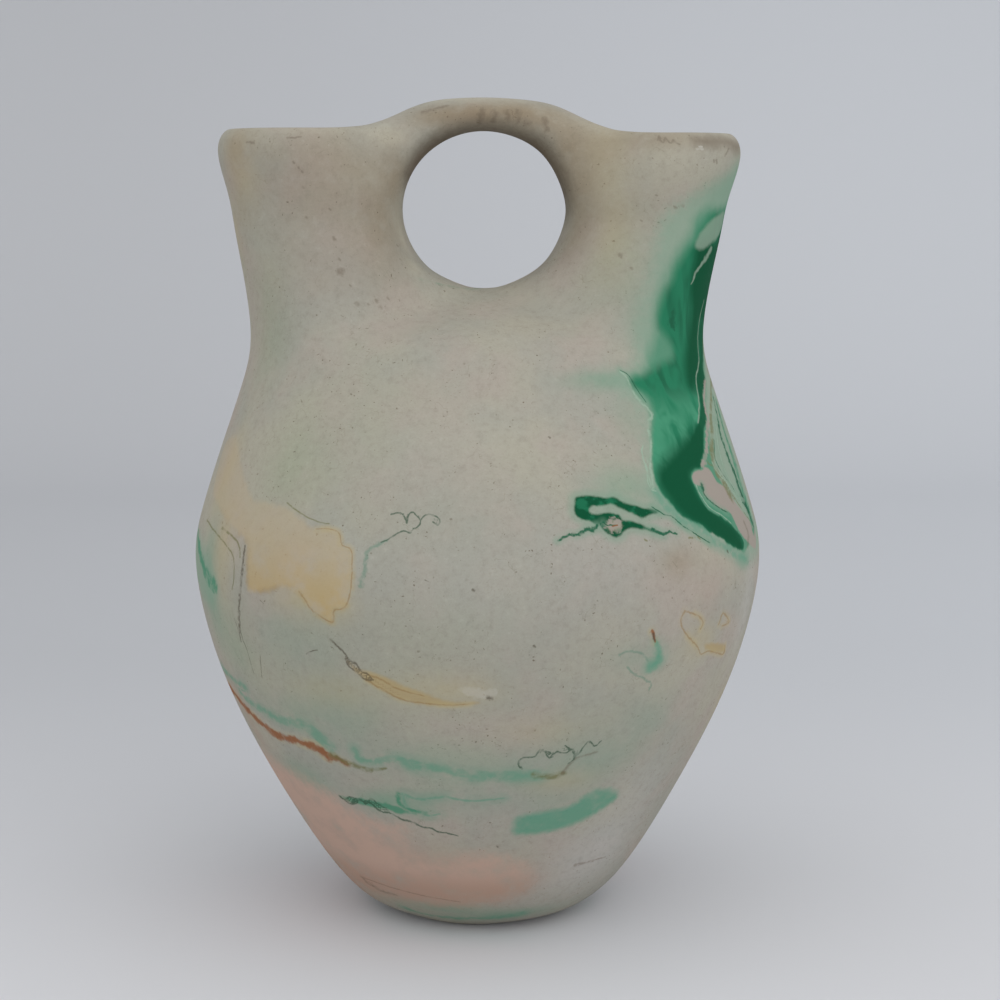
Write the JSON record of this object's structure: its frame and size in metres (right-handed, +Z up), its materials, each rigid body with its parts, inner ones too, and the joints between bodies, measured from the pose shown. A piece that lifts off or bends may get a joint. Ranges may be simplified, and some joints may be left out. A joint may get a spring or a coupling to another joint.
{
  "type": "double spout vase",
  "caption": "Hollow clay vase with a round belly, an oval neck that forks into two open spouts, and a stirrup handle that bridges them.",
  "frame": {"origin": "under the middle of the belly, on the surface that the vase stands on", "axes": "+Z up, +X from the left spout to the right spout, -Y to the side that the picture shows"},
  "size_m": [0.1462, 0.146, 0.2101],
  "materials": {
    "marbled_clay": "unglazed matt fired clay with washes and lines of green, ochre, rust and terracotta marbling, bare clay inside"
  },
  "bodies": {
    "root": {"body": "marbled_clay", "left_spout": "marbled_clay", "right_spout": "marbled_clay", "handle": "marbled_clay"}
  },
  "joints": []
}
